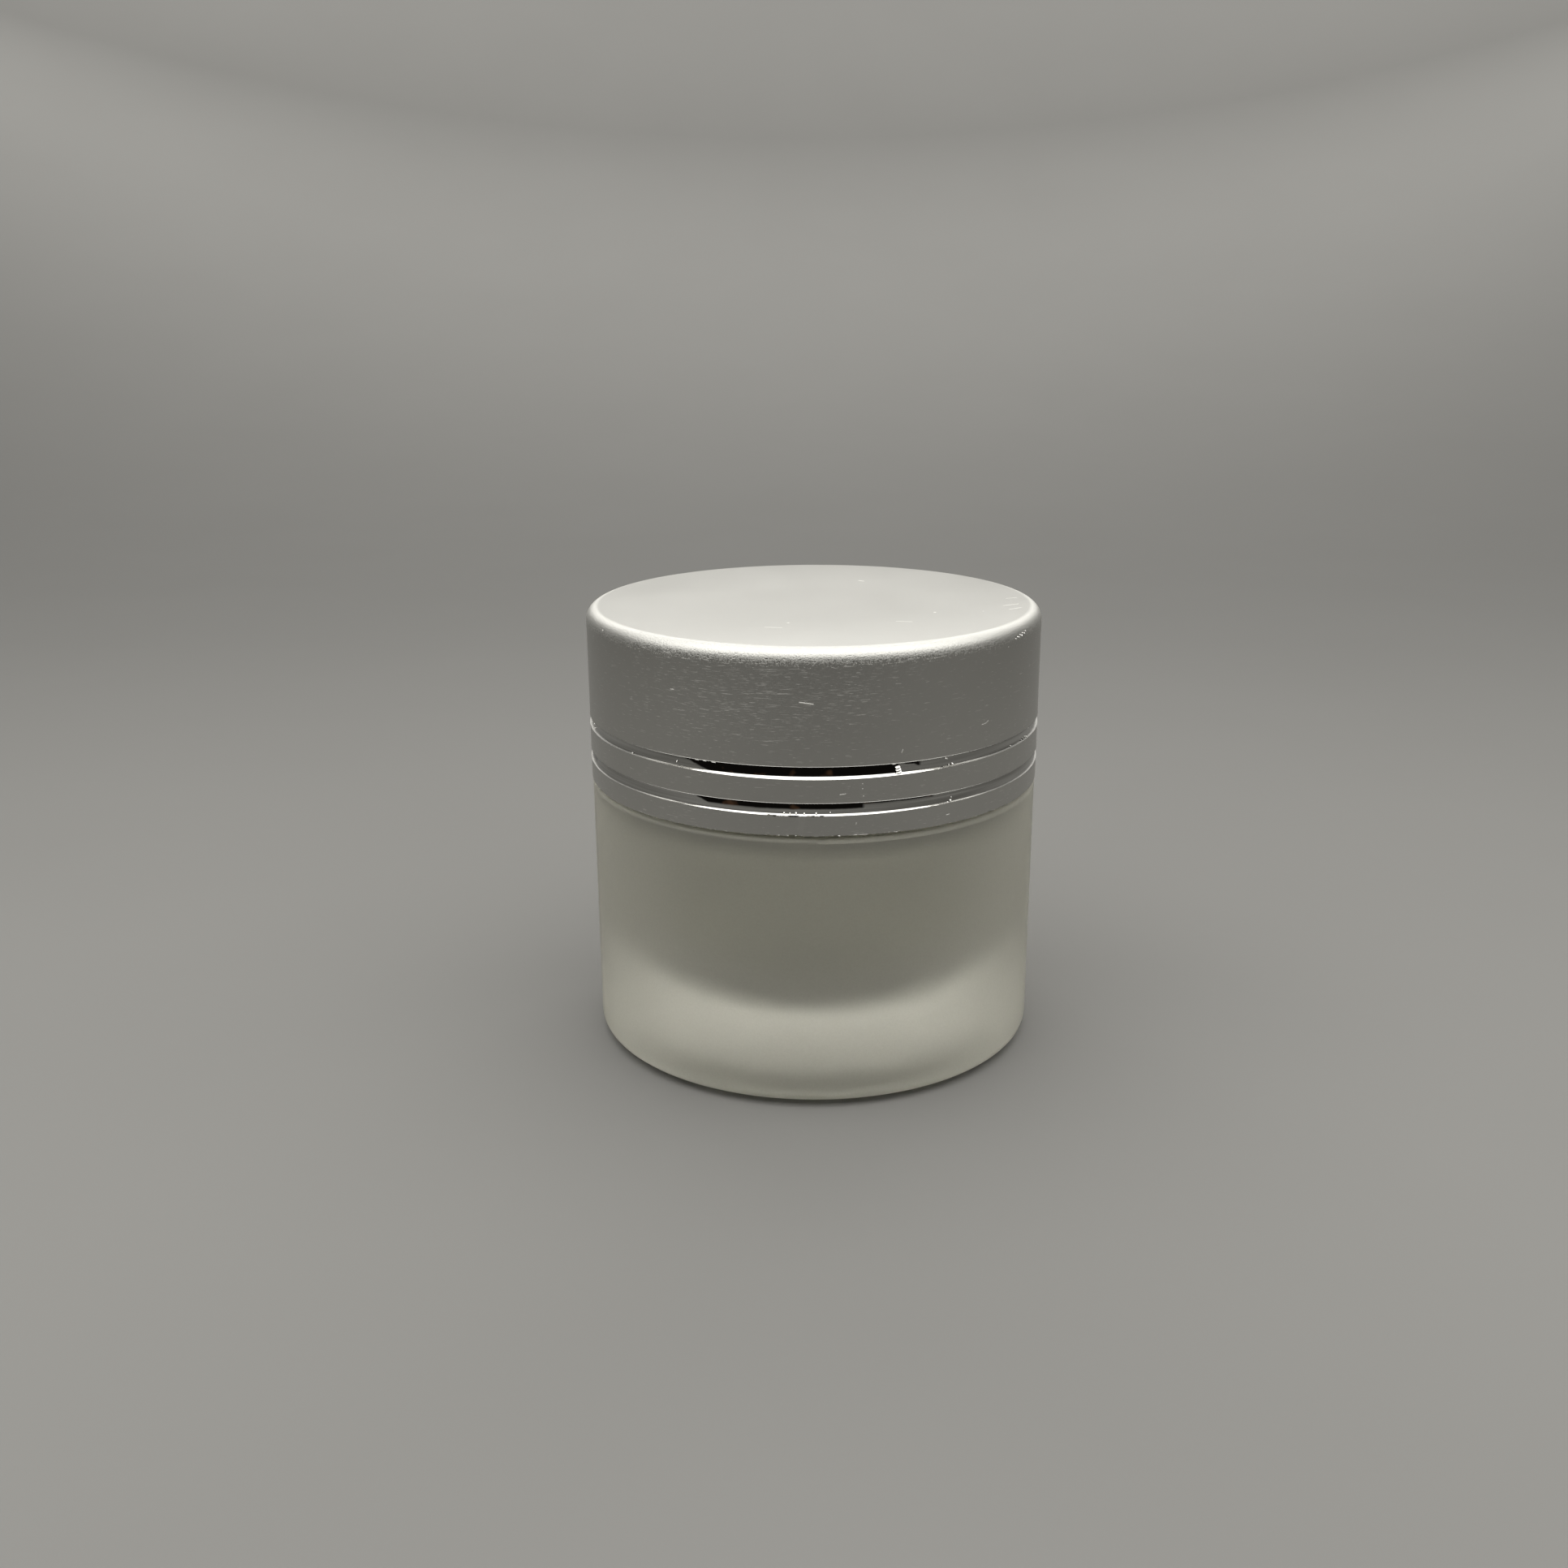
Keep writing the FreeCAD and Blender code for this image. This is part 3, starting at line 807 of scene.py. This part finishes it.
BURR_DEEP = 0.1 * MM
BURR_TILT = -38
BURR_CURL = -26
BURR_ROUNDED = 0.22
BURR_SET_BACK = 0.004 * MM
GROOVE_BURRS = (    # across, height, width, length, lean in degrees
    (8.15, 37.14, 0.45, 0.12, -4.0), (8.56, 36.78, 0.5, 0.4, -12.0),
    (8.63, 36.52, 0.54, 0.4, -12.0), (8.71, 36.26, 0.54, 0.4, -12.0),
    (8.8, 36.0, 0.48, 0.36, -12.0),
    (14.13, 36.98, 0.40, 0.26, 20.0), (14.56, 36.18, 0.34, 0.3, 35.0),
    (14.9, 36.3, 0.2, 0.2, 0.0), (24.4, 36.24, 0.3, 0.2, 10.0), (27.2, 36.2, 0.3, 0.24, 20.0),
    (27.7, 36.28, 0.36, 0.3, 30.0), (28.2, 36.36, 0.34, 0.28, 25.0), (28.7, 36.26, 0.3, 0.24, 15.0),
    (29.21, 37.1, 0.2, 0.16, 0.0), (-31.6, 37.0, 0.22, 0.5, 12.0),
    (-31.4, 36.5, 0.2, 0.3, -10.0), (-21.2, 36.22, 0.24, 0.16, 0.0),
    (14.5, 32.3, 0.34, 0.24, 20.0), (14.78, 32.52, 0.22, 0.36, 0.0),
    (14.9, 32.78, 0.2, 0.24, 30.0), (-12.1, 37.13, 0.5, 0.1, 2.0),
    (-11.2, 37.12, 0.42, 0.09, 0.0), (-10.2, 37.1, 0.5, 0.1, 2.0),
    (-14.6, 36.6, 0.1, 0.3, 0.0), (-4.6, 32.1, 0.2, 0.1, 10.0),
    (1.7, 32.5, 0.1, 0.12, 0.0), (-2.9, 32.42, 0.14, 0.22, 10.0), (-2.3, 32.4, 0.12, 0.18, -15.0),
    (-1.7, 32.44, 0.16, 0.24, 5.0), (-0.9, 32.4, 0.12, 0.18, 20.0), (0.3, 32.42, 0.14, 0.22, -10.0),
)
RIM_BURRS = (
    (24.4, 47.64, 0.2, 0.18, 20.0), (24.8, 47.76, 0.16, 0.16, -10.0),
    (25.2, 47.66, 0.24, 0.2, 30.0), (25.4, 47.88, 0.18, 0.16, 0.0),
    (25.8, 47.76, 0.2, 0.24, -25.0), (26.1, 47.94, 0.24, 0.2, 15.0),
    (26.5, 47.84, 0.18, 0.2, 40.0), (26.8, 48.02, 0.16, 0.14, 0.0),
)
RIM_PROUD = 0.14 * MM
SKIRT_BURRS = 110
SKIRT_WIDE = (0.12, 0.5)
SKIRT_TALL = (0.07, 0.15)
SKIRT_RISE = 0.05
SKIRT_LEAN = 6
TORN_GRAIN = {"Grain": 9000.0, "Patches": 900.0}
TORN_TEXTURE = 0.5
TORN_DEPTH = 0.03 * MM
TORN_ROUGHNESS = (0.28, 0.45)
TORN_COLOURS = ((0.86, 0.85, 0.82, 1.0), (0.96, 0.95, 0.93, 1.0))


def one_burr():
    """Sliver of unit size with rounded edges, which the others are copied from."""
    bpy.ops.object.select_all(action="DESELECT")
    bpy.ops.mesh.primitive_cube_add(size=1.0, location=(0.0, 0.0, 0.0))
    sliver = bpy.context.object
    sliver.name = "cap_burrs"
    bpy.ops.object.mode_set(mode="EDIT")
    bpy.ops.mesh.select_all(action="SELECT")
    bpy.ops.mesh.bevel(offset=BURR_ROUNDED, segments=2, affect="EDGES")
    bpy.ops.mesh.select_all(action="DESELECT")
    bpy.ops.object.mode_set(mode="OBJECT")
    return sliver


def burr_reach(height):
    """Radius that the slivers reach: the shell's own, or a little off the rim's rounding."""
    above = height - (shell_high.z - RIM_ROUNDING)
    if above < 0.0:
        return shell_radius
    return skin_radius - RIM_ROUNDING + math.sqrt(RIM_ROUNDING ** 2 - above ** 2) + RIM_PROUD


def place_burr(model, across, height, wide, tall, lean):
    """Copy of the sliver laid on the skin, its face curled upward, most at the sides."""
    copy = model.copy()
    copy.data = model.data.copy()
    bpy.context.scene.collection.objects.link(copy)
    turn = across / shell_radius
    tilt = math.radians(BURR_TILT + BURR_CURL * min(1.0, turn * turn))
    lifted = (BURR_DEEP + tall * abs(math.sin(tilt))) * 0.5
    out = burr_reach(height) - lifted - BURR_SET_BACK
    shape = Matrix.Diagonal((wide, BURR_DEEP, tall, 1.0))
    leaned = Matrix.Rotation(math.radians(lean), 4, "Y")
    tilted = Matrix.Rotation(tilt, 4, "X")
    laid = Matrix.Translation((0.0, -out, height)) @ leaned @ tilted @ shape
    copy.data.transform(Matrix.Rotation(turn, 4, "Z") @ laid)
    return copy


def cap_burrs():
    """All the slivers as one mesh."""
    model = one_burr()
    draw = random.Random(7)
    burrs = [place_burr(model, across * MM, height * MM, wide * MM, tall * MM, lean)
             for across, height, wide, tall, lean in GROOVE_BURRS + RIM_BURRS]
    for _ in range(SKIRT_BURRS):
        across = draw.uniform(-math.pi, math.pi) * shell_radius
        wide, tall = draw.uniform(*SKIRT_WIDE) * MM, draw.uniform(*SKIRT_TALL) * MM
        height = shell_low.z + draw.uniform(0.0, SKIRT_RISE) * MM + tall / 2
        lean = draw.uniform(-SKIRT_LEAN, SKIRT_LEAN)
        burrs.append(place_burr(model, across, height, wide, tall, lean))
    bpy.ops.object.select_all(action="DESELECT")
    for burr in burrs:
        burr.select_set(True)
    bpy.context.view_layer.objects.active = burrs[0]
    bpy.ops.object.join()
    joined = bpy.context.object
    bpy.data.objects.remove(model)
    joined.name = "cap_burrs"
    shade_by_angle(joined, 40)
    return joined


def torn_aluminium():
    """Bare torn metal, rougher than the cut it came from."""
    made, tree, shader = new_material("torn_aluminium")
    grain = use_group(tree, FINE_GRAIN, Place=stretched_place(tree), **TORN_GRAIN)
    roughen(tree, shader, grain["Height"], TORN_TEXTURE, TORN_DEPTH)
    feed(tree, shader, Base_Color=blend_colours(tree, grain["Height"], *TORN_COLOURS),
         Roughness=patchy(tree, grain, *TORN_ROUGHNESS), Metallic=1.0)
    return made


burrs = cap_burrs()
dress(burrs, torn_aluminium())
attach(burrs, "cap")


# --- Studio --------------------------------------------------------------------------
# Pale sweep that rises all round, a large softbox overhead, one behind the jar, a lamp for
# the sweep's far side, and the camera at the height of someone who looks down at the jar.

SWEEP_RADIUS = 0.35
SWEEP_CURVE = 0.75
SWEEP_HEIGHT = 0.8
SWEEP_GAP = 0.03 * MM
SWEEP_SEGMENTS = 128
PAPER_GRAIN = {"Grain": 900.0, "Patches": 20.0}
PAPER_COLOURS = ((0.238, 0.235, 0.228, 1.0), (0.248, 0.245, 0.238, 1.0))
PAPER_ROUGHNESS = 0.95
PAPER_GLOSS = 0.1


def pale_paper():
    """Matt paper, a little uneven in colour."""
    made, tree, shader = new_material("pale_paper")
    grain = use_group(tree, FINE_GRAIN, Place=stretched_place(tree), **PAPER_GRAIN)
    feed(tree, shader, Base_Color=blend_colours(tree, grain["Patch"], *PAPER_COLOURS),
         Roughness=PAPER_ROUGHNESS, Specular_IOR_Level=PAPER_GLOSS)
    return made


def sweep():
    """Round floor that curves up into a wall, all of one pale paper."""
    outline = [outline_point(r, -SWEEP_GAP) for r in (0.0, SWEEP_RADIUS * 0.5)]
    outline += arc_points((SWEEP_RADIUS, SWEEP_CURVE - SWEEP_GAP), SWEEP_CURVE, -90, 0, 24)
    outline += [outline_point(SWEEP_RADIUS + SWEEP_CURVE, SWEEP_HEIGHT)]
    piece = turn_outline("sweep", outline, SWEEP_SEGMENTS)
    bpy.ops.object.mode_set(mode="EDIT")
    bpy.ops.mesh.flip_normals()
    bpy.ops.object.mode_set(mode="OBJECT")
    shade_by_angle(piece, 60)
    dress(piece, pale_paper())
    return piece


LAMP_COLOUR = (1.0, 0.99, 0.95)
SOFTBOXES = (    # name, place, target, width, depth, brightness
    ("overhead_softbox", (0.0, -0.09, 0.30), (0.0, -0.09, 0.0), 0.85, 0.46, 2.05),
    ("back_softbox", (0.0, 0.62, 0.44), (0.0, 0.0, 0.0), 1.0, 0.40, 2.15),
    ("backdrop_lamp", (0.0, 0.70, 0.50), (0.0, 1.10, 0.10), 1.2, 0.30, 3.0),
)


def softbox(name, place, target, width, depth, brightness):
    """Rectangular lamp that faces a target; its brightness is that of its own front."""
    lamp = bpy.data.lights.new(name, "AREA")
    lamp.shape = "RECTANGLE"
    lamp.size = width
    lamp.size_y = depth
    lamp.energy = brightness * math.pi * width * depth
    lamp.color = LAMP_COLOUR
    holder = bpy.data.objects.new(name, lamp)
    holder.location = place
    holder.rotation_euler = (Vector(target) - Vector(place)).to_track_quat("-Z", "Y").to_euler()
    bpy.context.scene.collection.objects.link(holder)


CAMERA_DISTANCE = 175.85 * MM
CAMERA_HEIGHT = 82.19 * MM
CAMERA_YAW, CAMERA_PITCH, CAMERA_ROLL = -0.0190, 0.3001, -0.0052
SENSOR_WIDTH = 36.0
LENS_LENGTH = 36.95
CLIP_START = 0.01


def studio_camera():
    """Camera that looks down at the jar from the front."""
    ahead = math.cos(CAMERA_PITCH)
    forward = Vector((math.sin(CAMERA_YAW) * ahead, math.cos(CAMERA_YAW) * ahead,
                      -math.sin(CAMERA_PITCH)))
    level = Vector((math.cos(CAMERA_YAW), -math.sin(CAMERA_YAW), 0.0))
    upward = level.cross(forward)
    right = level * math.cos(CAMERA_ROLL) + upward * math.sin(CAMERA_ROLL)
    top = right.cross(forward)
    lens = bpy.data.cameras.new("studio_camera")
    lens.sensor_width = SENSOR_WIDTH
    lens.lens = LENS_LENGTH
    lens.clip_start = CLIP_START
    holder = bpy.data.objects.new("studio_camera", lens)
    turn = Matrix((right, top, -forward)).transposed().to_4x4()
    holder.matrix_world = Matrix.Translation((0.0, -CAMERA_DISTANCE, CAMERA_HEIGHT)) @ turn
    bpy.context.scene.collection.objects.link(holder)
    bpy.context.scene.camera = holder


sweep()
for lamp in SOFTBOXES:
    softbox(*lamp)
studio_camera()

STUDIO_AIR = (0.08, 0.079, 0.077, 1.0)
world = bpy.data.worlds.new("studio_air")
bpy.context.scene.world = world
world.use_nodes = True
world.node_tree.nodes["Background"].inputs["Color"].default_value = STUDIO_AIR
bpy.context.scene.view_settings.view_transform = "Standard"
